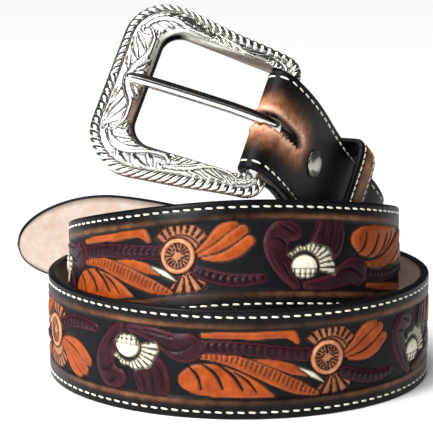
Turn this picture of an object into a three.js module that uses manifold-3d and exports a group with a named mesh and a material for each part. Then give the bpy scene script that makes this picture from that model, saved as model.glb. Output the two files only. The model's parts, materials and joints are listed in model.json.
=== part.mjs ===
// A tooled leather western belt, coiled up and set down on its edge: the strap with its fold, slot and
// adjusting holes, a keeper loop, two snaps, and a cast silver buckle with a rope edge and a prong.
// Millimetres, +Z up. The belt stands on its outermost turn.
import * as THREE from 'three';
import { mergeVertices } from 'three/addons/utils/BufferGeometryUtils.js';
import Module from 'manifold-3d';

const wasm = await Module();
wasm.setup();

// Strap
const WIDTH = 38;
const THICK = 3;
const BEVEL = 0.7;
const RIM = 7; // the smooth border along each edge of the tooled panel
const PANEL_SINK = 0.4;
const STEP = 8; // between two sections of the strap
const BEND_STEP = 4; // the same where it bends up to the buckle
const BEND_LENGTH = 112; // that stretch, before the bar
const TIP = { length: 38, sections: 10, fullness: 1.6, roundness: 0.55, least: 0.8 };
const TOOLED = { fromTip: 200, beforeBar: 105, fade: 15, slope: 0.5 };
const GAP = 0.3; // between pieces that touch
const SLIVER = 0.01;

// The strap's middle line, from its tip to the buckle: degrees round the coil clockwise from the back,
// distance from the coil's axis, height, and how far the top edge leans towards the axis in degrees.
const ROUTE = [
  { around: -56, radius: 108, height: 33.5, lean: 0 },
  { around: -42, radius: 91, height: 34.5, lean: 0 },
  { around: -22, radius: 75, height: 30, lean: 0 },
  { around: 5, radius: 69.6, height: 23.4, lean: 0 },
  { around: 30, radius: 69, height: 20.15, lean: 0 },
  { around: 50, radius: 69, height: 19.2, lean: 0 },
  { around: 70, radius: 69, height: 19, lean: 0 },
  { around: 90, radius: 69, height: 19, lean: 0 },
  { around: 135, radius: 69, height: 19, lean: 0 },
  { around: 180, radius: 69, height: 19, lean: 0 },
  { around: 225, radius: 69, height: 19, lean: 0 },
  { around: 270, radius: 69, height: 19, lean: 0 },
  { around: 315, radius: 67.5, height: 19, lean: 0 },
  { around: 360, radius: 63, height: 21, lean: -8 },
  { around: 405, radius: 59, height: 30, lean: -8 },
  { around: 450, radius: 58, height: 41, lean: 0 },
  { around: 495, radius: 58.5, height: 50.5, lean: 9 },
  { around: 540, radius: 58.5, height: 54.2, lean: 14 },
  { around: 585, radius: 60, height: 47, lean: 9 },
  { around: 630, radius: 61.5, height: 35, lean: 0 },
  { around: 675, radius: 57.5, height: 24, lean: -8 },
  { around: 720, radius: 53, height: 21, lean: -10 },
  { around: 765, radius: 51, height: 28, lean: -8 },
  { around: 799, radius: 50.5, height: 43, lean: 0 },
  { around: 813, radius: 43, height: 55, lean: 0 },
  { around: 832, radius: 37.5, height: 66.5, lean: 0 },
  { around: 852, radius: 37, height: 77.4, lean: 0 },
  { around: 869, radius: 41.5, height: 87.6, lean: 0 },
  { around: 884, radius: 47.5, height: 97.3, lean: 0 },
];
// Near the buckle the strap's width turns to lie along the buckle's bar.
const BAR_WAY = new THREE.Vector3(0.33, 0.545, 0.77).normalize();
const TURN_FROM = 790;
const TURN_TO = 825;

// Fold round the bar, with the flap behind it
const BAR_RADIUS = 2.1;
const FOLD_RADIUS = BAR_RADIUS + GAP + THICK / 2;
const FLAP = { length: 76, endLength: 3, endLess: 2.5 };
const CLOSING = 14; // behind the bar the two layers close up over this length
const SLOT = { half: 3.5, reach: 14, sections: 16, clear: 0.6 }; // reach: past the bar, on both layers

// Adjusting holes, measured from the tip
const HOLES = { first: 85, pitch: 25, count: 5, radius: 2.5 };

// Keeper loop and snaps, measured back from the bar
const KEEPER = {
  at: 50.5, length: 11.5, thick: 2.2, across: 21.7, above: 7.5, below: 7, outwards: 1.4, square: 5, sections: 40,
};
const SNAPS = [26, 66];
// The cap's dome is given by its rim, shoulder and crown; the back is a ring that the post passes through.
const SNAP = {
  cap: 5, rim: 0.5, shoulder: 4.2, shoulderRise: 1.1, crown: 2.5, crownRise: 1.55, rise: 1.7,
  post: 2, postEnd: 0.9, back: 4.4, backThick: 1.3, backCorner: 0.6,
};

// Buckle, in its own frame: u from the bar to the toe, v along the bar, n out of its face
const TOE_WAY = new THREE.Vector3(-0.946, 0.048, 0.319);
const BUCKLE_SLIDE = -0.5; // along the bar
const OUTER = { heel: -5.5, toe: 57.6, heelHalf: 27.6, toeHalf: 35.5, heelCorner: 7, toeCorner: 16 };
const INNER = { heel: 2.4, toe: 43, heelHalf: 20.1, toeHalf: 21.5, heelCorner: 0, toeCorner: 7 };
const HEEL_INSIDE = 20.6; // half the gap between the two arms' ends
const BAR_SUNK = 1.5; // how far the bar runs into each arm
const HEEL_FADE = 8; // sections over which the relief starts at the arms' ends
const SAG = { start: 14, run: 20 }; // the section at which the band starts to sag, and over how many
const ROPE = { lobes: 64, stations: 3, width: 4.5, lift: 0.35, slant: 0.35 };
const LEAVES = { count: 22, lift: 0.4 };
// One section of the cast band: millimetres in from the outer edge, then a share of what is left of its
// width, height at the arms' ends, how far it sags away from them, how much of the rope's lift it takes,
// how much of the leaves' lift.
const BAND = [
  { inset: 0.5, share: 0, height: -2.4, sag: 1.9, rope: 0, leaf: 0 },
  { inset: 0, share: 0, height: -1.2, sag: 1.9, rope: 0, leaf: 0 },
  { inset: 0.1, share: 0, height: 0.2, sag: 1.9, rope: 1, leaf: 0 },
  { inset: 1.4, share: 0, height: 1.4, sag: 1.7, rope: 1, leaf: 0 },
  { inset: 3, share: 0, height: 1.5, sag: 1.5, rope: 1, leaf: 0 },
  { inset: 4.5, share: 0, height: 0.9, sag: 1.2, rope: 0, leaf: 0 },
  { inset: 4.5, share: 0.22, height: 1.9, sag: 0.7, rope: 0, leaf: 1 },
  { inset: 4.5, share: 0.48, height: 2.7, sag: 0.1, rope: 0, leaf: 1 },
  { inset: 4.5, share: 0.7, height: 3.1, sag: -0.2, rope: 0, leaf: 0 },
  { inset: 4.5, share: 0.94, height: 1.6, sag: -0.2, rope: 0, leaf: 0 },
  { inset: 4.5, share: 1, height: -0.4, sag: -0.2, rope: 0, leaf: 0 },
  { inset: 4.5, share: 0.96, height: -2.4, sag: -0.2, rope: 0, leaf: 0 },
];
const PRONG = { radius: 2.05, ringThick: 2.4, ringHalf: 2.1, ringBevel: 0.5 };
// The prong's middle line: distance from the bar, height over it, share of its full radius.
const PRONG_LINE = [
  { from: -1.5, height: 3.2, size: 0.78 },
  { from: 0, height: 3.6, size: 0.86 },
  { from: 3.5, height: 4.3, size: 1 },
  { from: 12, height: 4.9, size: 1 },
  { from: 26, height: 5.5, size: 1 },
  { from: 40, height: 5.75, size: 1 },
  { from: 46.5, height: 5.6, size: 0.98 },
  { from: 49.5, height: 5.4, size: 0.86 },
  { from: 51.2, height: 5.25, size: 0.5 },
];
const SIDES = 12;

const LEATHER = new THREE.MeshStandardMaterial({ color: 0x2a1d18, roughness: 0.45, metalness: 0 });
const BURNISHED = new THREE.MeshStandardMaterial({ color: 0x6e4630, roughness: 0.4, metalness: 0 });
const SILVER = new THREE.MeshStandardMaterial({ color: 0xc9c8c4, roughness: 0.3, metalness: 1 });
const STEEL = new THREE.MeshStandardMaterial({ color: 0x9b9a98, roughness: 0.25, metalness: 1 });

const smooth = (t) => THREE.MathUtils.smoothstep(t, 0, 1);
const along = (point, way, by) => point.clone().addScaledVector(way, by);

// A natural cubic spline through the rows' points (x, y): its value at any x.
function spline(x, y) {
  const last = x.length - 1;
  const bend = new Array(last + 1).fill(0);
  const share = new Array(last + 1).fill(0);
  for (let i = 1; i < last; i++) {
    const before = x[i] - x[i - 1];
    const after = x[i + 1] - x[i];
    const pull = 6 * ((y[i + 1] - y[i]) / after - (y[i] - y[i - 1]) / before);
    const pivot = 2 * (before + after) - before * share[i - 1];
    share[i] = after / pivot;
    bend[i] = (pull - before * bend[i - 1]) / pivot;
  }
  for (let i = last - 1; i > 0; i--) bend[i] -= share[i] * bend[i + 1];
  return (at) => {
    let i = 0;
    while (i < last - 1 && at > x[i + 1]) i++;
    const span = x[i + 1] - x[i];
    const a = (x[i + 1] - at) / span;
    const b = (at - x[i]) / span;
    const curve = ((a ** 3 - a) * bend[i] + (b ** 3 - b) * bend[i + 1]) * span * span / 6;
    return a * y[i] + b * y[i + 1] + curve;
  };
}

const knots = ROUTE.map((row) => row.around);
const radiusAt = spline(knots, ROUTE.map((row) => row.radius));
const heightAt = spline(knots, ROUTE.map((row) => row.height));
const leanAt = spline(knots, ROUTE.map((row) => row.lean));

function routePoint(around) {
  const a = THREE.MathUtils.degToRad(around);
  const r = radiusAt(around);
  return new THREE.Vector3(r * Math.sin(a), r * Math.cos(a), heightAt(around));
}

// Distance along the route at every degree of it.
const degrees = [];
const distances = [];
for (let a = knots[0], run = 0, last = null; a <= knots.at(-1); a += 1) {
  const here = routePoint(a);
  if (last) run += here.distanceTo(last);
  degrees.push(a);
  distances.push(run);
  last = here;
}
const LENGTH = distances.at(-1);

function degreeAt(distance) {
  let i = 1;
  while (i < distances.length - 1 && distances[i] < distance) i++;
  const t = (distance - distances[i - 1]) / (distances[i] - distances[i - 1]);
  return degrees[i - 1] + t * (degrees[i] - degrees[i - 1]);
}

// The coiled strap at a distance from its tip: its middle, the way it runs towards the buckle, the way
// of its width, and the way its tooled face looks.
function coilFrame(distance) {
  const around = degreeAt(distance);
  const middle = routePoint(around);
  const way = routePoint(Math.min(around + 0.5, knots.at(-1)))
    .sub(routePoint(Math.min(around, knots.at(-1) - 0.5) - 0.5)).normalize();
  const lean = THREE.MathUtils.degToRad(leanAt(around));
  const a = THREE.MathUtils.degToRad(around);
  const out = new THREE.Vector3(Math.sin(a), Math.cos(a), 0);
  const width = new THREE.Vector3(0, 0, Math.cos(lean)).addScaledVector(out, -Math.sin(lean));
  width.lerp(BAR_WAY, smooth((around - TURN_FROM) / (TURN_TO - TURN_FROM)));
  width.addScaledVector(way, -width.dot(way)).normalize();
  return { middle, way, width, face: new THREE.Vector3().crossVectors(width, way) };
}

const END = coilFrame(LENGTH);
const BAR = along(END.middle, END.face, -FOLD_RADIUS);
const FOLD_LENGTH = Math.PI * FOLD_RADIUS;
const WHOLE = LENGTH + FOLD_LENGTH + FLAP.length;

// The whole strap: the coil, then half a turn round the bar, then the flap behind the strap.
function strapFrame(distance) {
  if (distance <= LENGTH) return coilFrame(distance);
  const past = distance - LENGTH;
  if (past < FOLD_LENGTH) {
    const turn = past / FOLD_RADIUS;
    const face = END.face.clone().multiplyScalar(Math.cos(turn)).addScaledVector(END.way, Math.sin(turn));
    const way = END.way.clone().multiplyScalar(Math.cos(turn)).addScaledVector(END.face, -Math.sin(turn));
    return { middle: along(BAR, face, FOLD_RADIUS), way, width: END.width.clone(), face };
  }
  const back = past - FOLD_LENGTH;
  const front = coilFrame(LENGTH - back);
  const apart = THICK + GAP + (2 * FOLD_RADIUS - THICK - GAP) * (1 - smooth(back / CLOSING));
  return {
    middle: along(front.middle, front.face, -apart),
    way: front.way.negate(),
    width: front.width,
    face: front.face.clone().negate(),
  };
}

const place = (frame, v, n) => along(along(frame.middle, frame.width, v), frame.face, n);

// A closed surface through rings of points; an open run gets a flat cap at each end.
function loft(rings, closed = false) {
  const sides = rings[0].length;
  const points = rings.flat();
  const faces = [];
  const runs = closed ? rings.length : rings.length - 1;
  for (let r = 0; r < runs; r++) {
    for (let s = 0; s < sides; s++) {
      const a = r * sides + s;
      const b = r * sides + (s + 1) % sides;
      const c = ((r + 1) % rings.length) * sides + s;
      const d = ((r + 1) % rings.length) * sides + (s + 1) % sides;
      faces.push(a, c, b, b, c, d);
    }
  }
  if (!closed) {
    for (const [ring, flip] of [[0, false], [rings.length - 1, true]]) {
      const middle = new THREE.Vector3();
      rings[ring].forEach((point) => middle.addScaledVector(point, 1 / sides));
      const centre = points.push(middle) - 1;
      for (let s = 0; s < sides; s++) {
        const a = ring * sides + s;
        const b = ring * sides + (s + 1) % sides;
        if (flip) faces.push(b, a, centre);
        else faces.push(a, b, centre);
      }
    }
  }
  const geometry = new THREE.BufferGeometry().setFromPoints(points);
  geometry.setIndex(faces);
  return geometry;
}

function solidOf(geometry) {
  const bare = geometry.clone();
  bare.deleteAttribute('normal');
  bare.deleteAttribute('uv');
  const merged = mergeVertices(bare, 1e-4);
  return new wasm.Manifold(new wasm.Mesh({
    numProp: 3,
    vertProperties: merged.attributes.position.array,
    triVerts: new Uint32Array(merged.index.array),
  }));
}

// The faces of a solid after a cut or a join, without the slivers shorter than SLIVER.
function geometryOf(solid) {
  const mesh = solid.simplify(SLIVER).getMesh();
  const geometry = new THREE.BufferGeometry();
  geometry.setAttribute('position', new THREE.BufferAttribute(new Float32Array(mesh.vertProperties), 3));
  geometry.setIndex(Array.from(mesh.triVerts));
  return geometry;
}

function named(name, geometry, material) {
  geometry.computeVertexNormals();
  const mesh = new THREE.Mesh(geometry, material);
  mesh.name = name;
  return mesh;
}

// A turned piece whose axis is the strap's face direction; heights count from the strap's middle.
function turnedOn(frame, profile, segments) {
  const lathe = new THREE.LatheGeometry(profile.map(([r, h]) => new THREE.Vector2(r, h)), segments);
  const turn = new THREE.Matrix4().makeBasis(frame.width, frame.face, frame.way.clone().negate());
  return lathe.applyMatrix4(turn.setPosition(frame.middle));
}

function halfWidthAt(distance) {
  const toEnd = (WHOLE - distance) / FLAP.endLength;
  if (toEnd < 1) return WIDTH / 2 - FLAP.endLess * (1 - toEnd) ** 2;
  const t = Math.min(distance / TIP.length, 1);
  return Math.max(TIP.least, WIDTH / 2 * (1 - (1 - t) ** TIP.fullness) ** TIP.roundness);
}

function strapSection(distance) {
  const frame = strapFrame(distance);
  const half = halfWidthAt(distance);
  const tooled = Math.min(distance - TOOLED.fromTip, LENGTH - TOOLED.beforeBar - distance) / TOOLED.fade;
  const sunk = smooth(tooled);
  const bevel = Math.min(BEVEL, half / 2);
  const rim = half - Math.min(RIM, half * 0.4);
  const floor = rim - BEVEL * (0.15 + TOOLED.slope * sunk);
  const top = THICK / 2;
  const low = top - PANEL_SINK * sunk;
  const outline = [
    [half, bevel - top], [half, top - bevel], [half - bevel, top], [rim, top], [floor, low],
    [-floor, low], [-rim, top], [bevel - half, top], [-half, top - bevel], [-half, bevel - top],
    [bevel - half, -top], [half - bevel, -top],
  ];
  return outline.map(([v, n]) => place(frame, v, n));
}

// A block with rounded ends that follows the strap from one distance to another and is thicker than it.
// The slot takes two, one from each side, since a single one would meet itself behind the bar.
function throughCut(from, to) {
  const rings = [];
  const deep = THICK / 2 + SLOT.clear;
  for (let i = 0; i <= SLOT.sections; i++) {
    const distance = THREE.MathUtils.lerp(from, to, i / SLOT.sections);
    const toEnd = Math.min(distance - from, to - distance, SLOT.half) / SLOT.half;
    const v = Math.max(SLOT.clear, SLOT.half * Math.sqrt(1 - (1 - toEnd) ** 2));
    const frame = strapFrame(distance);
    rings.push([[v, -deep], [v, deep], [-v, deep], [-v, -deep]].map(([a, n]) => place(frame, a, n)));
  }
  return solidOf(loft(rings));
}

// A round cutter through the strap, from a depth behind its middle to well above it.
function drill(frame, radius, depth) {
  const profile = [[0, -depth], [radius, -depth], [radius, THICK], [0, THICK]];
  return solidOf(turnedOn(frame, profile, SIDES));
}

// Stops from one distance to another, both included, about a step apart.
function spaced(from, to, step) {
  const count = Math.round((to - from) / step);
  return Array.from({ length: count + 1 }, (_, i) => THREE.MathUtils.lerp(from, to, i / count));
}

function makeStrap() {
  const tip = Array.from({ length: TIP.sections }, (_, i) => TIP.length * (i / TIP.sections) ** 1.8);
  const bend = LENGTH - BEND_LENGTH;
  const flap = LENGTH + FOLD_LENGTH;
  const stops = [...new Set([
    ...tip,
    ...spaced(TIP.length, bend, STEP),
    ...spaced(bend, LENGTH, BEND_STEP),
    ...spaced(LENGTH, flap, 1),
    ...spaced(flap, WHOLE - FLAP.endLength, BEND_STEP),
    ...spaced(WHOLE - FLAP.endLength, WHOLE, FLAP.endLength / 2),
  ])];
  let strap = solidOf(loft(stops.map(strapSection)));
  strap = strap.subtract(throughCut(LENGTH - SLOT.reach, flap));
  strap = strap.subtract(throughCut(LENGTH, flap + SLOT.reach));
  for (let i = 0; i < HOLES.count; i++) {
    strap = strap.subtract(drill(coilFrame(HOLES.first + i * HOLES.pitch), HOLES.radius, THICK));
  }
  for (const back of SNAPS) {
    strap = strap.subtract(drill(coilFrame(LENGTH - back), SNAP.post + GAP, 2 * (THICK + GAP)));
  }
  return named('strap', geometryOf(strap), LEATHER);
}

// The keeper is a band bent to a rounded box round both layers; its roomier side is the outer one.
function makeKeeper() {
  const frame = coilFrame(LENGTH - KEEPER.at);
  const middle = along(frame.middle, frame.face, KEEPER.outwards - (THICK + GAP) / 2);
  const bow = (value) => Math.sign(value) * Math.abs(value) ** (2 / KEEPER.square);
  const rings = [];
  for (let i = 0; i < KEEPER.sections; i++) {
    const turn = 2 * Math.PI * (i + 0.5) / KEEPER.sections;
    const high = Math.sin(turn) > 0 ? KEEPER.above : KEEPER.below;
    const ring = [];
    for (const [side, edge] of [[1, -1], [-1, -1], [-1, 1], [1, 1]]) {
      const grow = side * KEEPER.thick / 2;
      const v = (KEEPER.across + grow) * bow(Math.cos(turn));
      const n = (high + grow) * bow(Math.sin(turn));
      const across = along(along(middle, frame.width, v), frame.face, n);
      ring.push(along(across, frame.way, edge * KEEPER.length / 2));
    }
    rings.push(ring);
  }
  return named('keeper_loop', loft(rings, true), BURNISHED);
}

function makeSnap(number, back) {
  const frame = coilFrame(LENGTH - back);
  const seat = THICK / 2 + GAP;
  const low = -THICK / 2 - THICK - 2 * GAP;
  const cap = [
    [0, low - SNAP.postEnd], [SNAP.post, low - SNAP.postEnd], [SNAP.post, seat], [SNAP.cap, seat],
    [SNAP.cap, seat + SNAP.rim], [SNAP.shoulder, seat + SNAP.shoulderRise],
    [SNAP.crown, seat + SNAP.crownRise], [0, seat + SNAP.rise],
  ];
  const hole = SNAP.post + GAP;
  const end = low - SNAP.backThick;
  const ring = [
    [hole, end], [SNAP.back - SNAP.backCorner, end], [SNAP.back, end + SNAP.backCorner], [SNAP.back, low],
    [hole, low], [hole, end],
  ];
  return [
    named(`snap_${number}_cap`, turnedOn(frame, cap, 16), STEEL),
    named(`snap_${number}_back`, turnedOn(frame, ring, 16), STEEL),
  ];
}

// Buckle: its frame is n = v x u, which looks out of the buckle's face.
const V = END.width.clone();
const U = TOE_WAY.clone().addScaledVector(V, -TOE_WAY.dot(V)).normalize();
const N = new THREE.Vector3().crossVectors(V, U);
const HUB = along(BAR, V, BUCKLE_SLIDE);
const inBuckle = (u, v, n) => along(along(along(HUB, U, u), V, v), N, n);

// Half of the band's outline from the end of the upper arm to the middle of the toe, with round corners.
function halfOutline(edge, start) {
  const slope = Math.atan2(edge.toeHalf - edge.heelHalf, edge.toe - edge.heel);
  const path = new THREE.Path();
  path.moveTo(edge.heel, start);
  const heel = edge.heelCorner;
  if (heel) path.absarc(edge.heel + heel, start, edge.heelHalf - start, Math.PI, Math.PI / 2 + slope, true);
  else path.lineTo(edge.heel + 1, edge.heelHalf);
  const toe = edge.toeCorner;
  const toeV = edge.toeHalf - toe * Math.tan(slope) - toe / Math.cos(slope);
  path.absarc(edge.toe - toe, toeV, toe, Math.PI / 2 + slope, 0, true);
  path.lineTo(edge.toe, 0);
  return path;
}

function makeFrame() {
  const half = ROPE.lobes * ROPE.stations / 2;
  const outer = halfOutline(OUTER, HEEL_INSIDE).getSpacedPoints(half);
  const inner = halfOutline(INNER, HEEL_INSIDE).getSpacedPoints(half);
  const rings = [];
  for (let i = 0; i <= 2 * half; i++) {
    const k = i <= half ? i : 2 * half - i;
    const side = i <= half ? 1 : -1;
    const out = outer[k];
    const across = inner[k].clone().sub(out);
    const width = across.length();
    across.normalize();
    const fade = smooth(k / HEEL_FADE);
    const sag = smooth((k - SAG.start) / SAG.run);
    rings.push(BAND.map((row) => {
      const inset = row.inset + row.share * (width - ROPE.width);
      const twist = 2 * Math.PI * (i / ROPE.stations + ROPE.slant * row.inset / 1.5);
      const leaf = Math.cos(2 * Math.PI * (LEAVES.count * i / (2 * half) + 0.5 * row.share));
      const lift = row.rope * ROPE.lift * Math.cos(twist) + row.leaf * LEAVES.lift * leaf;
      const u = out.x + across.x * inset;
      const v = out.y + across.y * inset;
      return inBuckle(u, side * v, row.height - sag * row.sag + fade * lift);
    }));
  }
  const band = solidOf(loft(rings));
  const bar = new THREE.CylinderGeometry(BAR_RADIUS, BAR_RADIUS, 2 * (HEEL_INSIDE + BAR_SUNK), SIDES);
  const turn = new THREE.Matrix4().makeBasis(U, V, N.clone().negate()).setPosition(HUB);
  return named('buckle_frame', geometryOf(band.add(solidOf(bar.applyMatrix4(turn)))), SILVER);
}

function makeProng() {
  const rings = PRONG_LINE.map((row, i) => {
    const before = PRONG_LINE[Math.max(i - 1, 0)];
    const after = PRONG_LINE[Math.min(i + 1, PRONG_LINE.length - 1)];
    const tilt = Math.atan2(after.height - before.height, after.from - before.from);
    const ring = [];
    for (let s = 0; s < SIDES; s++) {
      const turn = 2 * Math.PI * s / SIDES;
      const v = -Math.sin(turn) * PRONG.radius * row.size;
      const up = Math.cos(turn) * PRONG.radius * row.size;
      ring.push(inBuckle(row.from - Math.sin(tilt) * up, v, row.height + Math.cos(tilt) * up));
    }
    return ring;
  });
  const inside = BAR_RADIUS + GAP;
  const outside = inside + PRONG.ringThick;
  const half = PRONG.ringHalf;
  const edge = PRONG.ringBevel;
  const profile = [
    [inside, -half], [outside - edge, -half], [outside, edge - half], [outside, half - edge],
    [outside - edge, half], [inside, half], [inside, -half],
  ].map(([r, h]) => new THREE.Vector2(r, h));
  const turn = new THREE.Matrix4().makeBasis(U, V, N.clone().negate()).setPosition(HUB);
  const ring = new THREE.LatheGeometry(profile, 2 * SIDES).applyMatrix4(turn);
  const hole = new THREE.CylinderGeometry(inside, inside, 12, 2 * SIDES).applyMatrix4(turn);
  const prong = solidOf(loft(rings)).subtract(solidOf(hole)).add(solidOf(ring));
  return named('buckle_prong', geometryOf(prong), STEEL);
}

const belt = new THREE.Group();
belt.add(makeStrap(), makeKeeper(), makeFrame(), makeProng());
SNAPS.forEach((back, i) => belt.add(...makeSnap(i + 1, back)));

// The origin is the middle of the belt's box, on the surface that it stands on.
const box = new THREE.Box3().setFromObject(belt);
const centre = box.getCenter(new THREE.Vector3());
belt.position.set(-centre.x, -centre.y, -box.min.z);

export default belt;
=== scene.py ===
"""Looks of a tooled leather western belt, coiled up and standing on its edge.
"""

import json
import math

import bmesh
import bpy
import numpy as np
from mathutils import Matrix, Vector


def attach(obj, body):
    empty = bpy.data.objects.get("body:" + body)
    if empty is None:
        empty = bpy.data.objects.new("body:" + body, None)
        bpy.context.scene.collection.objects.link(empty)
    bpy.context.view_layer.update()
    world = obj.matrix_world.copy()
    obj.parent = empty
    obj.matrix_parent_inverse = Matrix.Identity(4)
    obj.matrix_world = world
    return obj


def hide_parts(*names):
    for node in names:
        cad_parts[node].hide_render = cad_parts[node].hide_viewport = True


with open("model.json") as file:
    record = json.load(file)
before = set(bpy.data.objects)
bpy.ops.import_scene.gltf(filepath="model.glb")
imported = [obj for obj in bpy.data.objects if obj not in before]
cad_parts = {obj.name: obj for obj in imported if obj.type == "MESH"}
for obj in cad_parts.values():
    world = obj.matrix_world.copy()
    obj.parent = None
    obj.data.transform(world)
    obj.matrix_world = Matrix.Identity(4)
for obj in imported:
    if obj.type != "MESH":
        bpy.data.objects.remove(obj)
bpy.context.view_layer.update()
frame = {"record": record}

# Sizes, in millimetres

WIDTH = 38.0
THICK = 3.0
CORNER = 0.9  # rounding of the strap's edges
RIM = 7.0  # smooth border beside the tooled panel
SINK = 0.45  # how far the panel lies below the rims
TIP = dict(length=38.0, fullness=1.7, roundness=0.45, least=0.8)
TOOLED_FROM, TOOLED_TO, TOOLED_FADE = 200.0, 105.0, 15.0  # from the tip, before the bar
OUTER_TURN_TO = 580.0  # from the tip, where the piece for the inner turns takes over
ROW = 0.48  # from one row of points to the next on the tooled strap
TURN_FROM, TURN_TO = 790.0, 825.0  # degrees round the coil, where the width turns to the bar's way
BAR_RADIUS = 2.1
GAP = 0.3
FOLD_RADIUS = BAR_RADIUS + GAP + THICK / 2
FOLD_LENGTH = math.pi * FOLD_RADIUS
FLAP_LENGTH = 76.0
CLOSING = 14.0  # the length over which the flap closes up to the strap
SLOT = dict(half=3.0, reach=14.0, pucker=1.1)  # half its width, its reach past the fold, its lips' height
HOLES = dict(first=85.0, pitch=25.0, count=5, radius=2.5)
KEEPER = dict(
    at=50.5, length=11.5, thick=2.2, across=21.7, above=7.5, below=7.0, outwards=1.4, square=5.0,
    corner=0.7, crown=0.35,
)
SNAPS = (26.0, 66.0)  # before the bar
BUCKLE_SLIDE = -0.5  # the buckle's play along its bar
STITCH = dict(inset=2.5, pitch=3.75, length=2.75, radius=0.36, slant=0.07)
KEEPER_STITCH = dict(inset=1.9, count=42, length=2.5, radius=0.32, slant=0.06)
SEAM = dict(depth=0.16, width=0.45)  # the groove that the strap's stitches lie in

# The strap's middle line from its tip to the bar. Columns: degrees round the coil, clockwise from the back;
# distance from the coil's axis; height; lean of the top edge towards the axis in degrees.
ROUTE = np.array([
    (-56, 108, 33.5, 0), (-42, 91, 34.5, 0), (-22, 75, 30, 0), (5, 69.6, 23.4, 0), (30, 69, 20.15, 0),
    (50, 69, 19.2, 0), (70, 69, 19, 0), (90, 69, 19, 0), (135, 69, 19, 0), (180, 69, 19, 0),
    (225, 69, 19, 0), (270, 69, 19, 0), (315, 67.5, 19, 0), (360, 63, 21, -8), (405, 59, 30, -8),
    (450, 58, 41, 0), (495, 58.5, 50.5, 9), (540, 58.5, 54.2, 14), (585, 60, 47, 9), (630, 61.5, 35, 0),
    (675, 57.5, 24, -8), (720, 53, 21, -10), (765, 51, 28, -8), (799, 50.5, 43, 0), (813, 43, 55, 0),
    (832, 37.5, 66.5, 0), (852, 37, 77.4, 0), (869, 41.5, 87.6, 0), (884, 47.5, 97.3, 0),
], float)


def unit(vectors):
    """Each vector over its own length."""
    vectors = np.asarray(vectors, float)
    return vectors / np.linalg.norm(vectors, axis=-1, keepdims=True)


def smooth(t):
    """3t^2 - 2t^3, held at 0 and 1 outside 0..1."""
    t = np.clip(t, 0, 1)
    return t * t * (3 - 2 * t)


def spline(x, y, at):
    """Natural cubic through the points (x, y): the second derivatives come from the tridiagonal equations,
    and between two points the value is a*y0 + b*y1 + ((a^3 - a)*y0'' + (b^3 - b)*y1'') * span^2 / 6."""
    x, y, at = (np.asarray(v, float) for v in (x, y, at))
    n, h = len(x), np.diff(x)
    system, pull = np.eye(n), np.zeros((n,) + y.shape[1:])
    i = np.arange(1, n - 1)
    system[i, i - 1], system[i, i], system[i, i + 1] = h[:-1], 2 * (h[:-1] + h[1:]), h[1:]
    slope = np.diff(y, axis=0) / h.reshape((-1,) + (1,) * (y.ndim - 1))
    pull[1:-1] = 6 * np.diff(slope, axis=0)
    bend = np.linalg.solve(system, pull)
    k = np.clip(np.searchsorted(x, at, side="right") - 1, 0, n - 2)
    grow = at.shape + (1,) * (y.ndim - 1)
    span = h[k].reshape(grow)
    a = ((x[k + 1] - at) / h[k]).reshape(grow)
    b = 1 - a
    return a * y[k] + b * y[k + 1] + ((a**3 - a) * bend[k] + (b**3 - b) * bend[k + 1]) * span**2 / 6


BAR_WAY = unit((0.33, 0.545, 0.77))
TOE_WAY = np.array((-0.946, 0.048, 0.319))


def route_point(around):
    """(r sin a, r cos a, height), with r and height from the route's splines."""
    row = spline(ROUTE[:, 0], ROUTE[:, 1:], around)
    a = np.radians(around)
    return np.stack([row[..., 0] * np.sin(a), row[..., 0] * np.cos(a), row[..., 1]], -1)


DEGREES = np.arange(ROUTE[0, 0], ROUTE[-1, 0] + 0.5)
DISTANCES = np.r_[0, np.cumsum(np.linalg.norm(np.diff(route_point(DEGREES), axis=0), axis=1))]
LENGTH = DISTANCES[-1]
WHOLE = LENGTH + FOLD_LENGTH + FLAP_LENGTH


def coil_frames(distance):
    """Middle, way, width and face of the coiled strap at each distance from its tip. The width leans from
    the vertical by the route's lean, turns to the bar's way near the buckle, and is squared to the way."""
    around = np.interp(distance, DISTANCES, DEGREES)
    first, last = ROUTE[0, 0], ROUTE[-1, 0]
    ahead = route_point(np.minimum(around + 0.5, last))
    way = unit(ahead - route_point(np.maximum(np.minimum(around, last - 0.5) - 0.5, first - 0.5)))
    lean = np.radians(spline(ROUTE[:, 0], ROUTE[:, 3], around))[..., None]
    a = np.radians(around)
    out = np.stack([np.sin(a), np.cos(a), 0 * a], -1)
    width = np.cos(lean) * np.array((0, 0, 1.0)) - np.sin(lean) * out
    turn = smooth((around - TURN_FROM) / (TURN_TO - TURN_FROM))[..., None]
    width = width * (1 - turn) + BAR_WAY * turn
    width = unit(width - (width * way).sum(-1, keepdims=True) * way)
    return route_point(around), way, width, np.cross(width, way)


END, END_WAY, END_WIDTH, END_FACE = (v[0] for v in coil_frames(np.array([LENGTH])))
BAR = END - FOLD_RADIUS * END_FACE
V = END_WIDTH
U = unit(TOE_WAY - (TOE_WAY @ V) * V)
N = np.cross(V, U)
HUB = BAR + BUCKLE_SLIDE * V
# The solids' own origin is read from the hinge, which lies on the hub.
SHIFT = np.array(frame["record"]["behaviour"]["joints"][0]["pos_m"]) * 1000 - HUB


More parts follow.
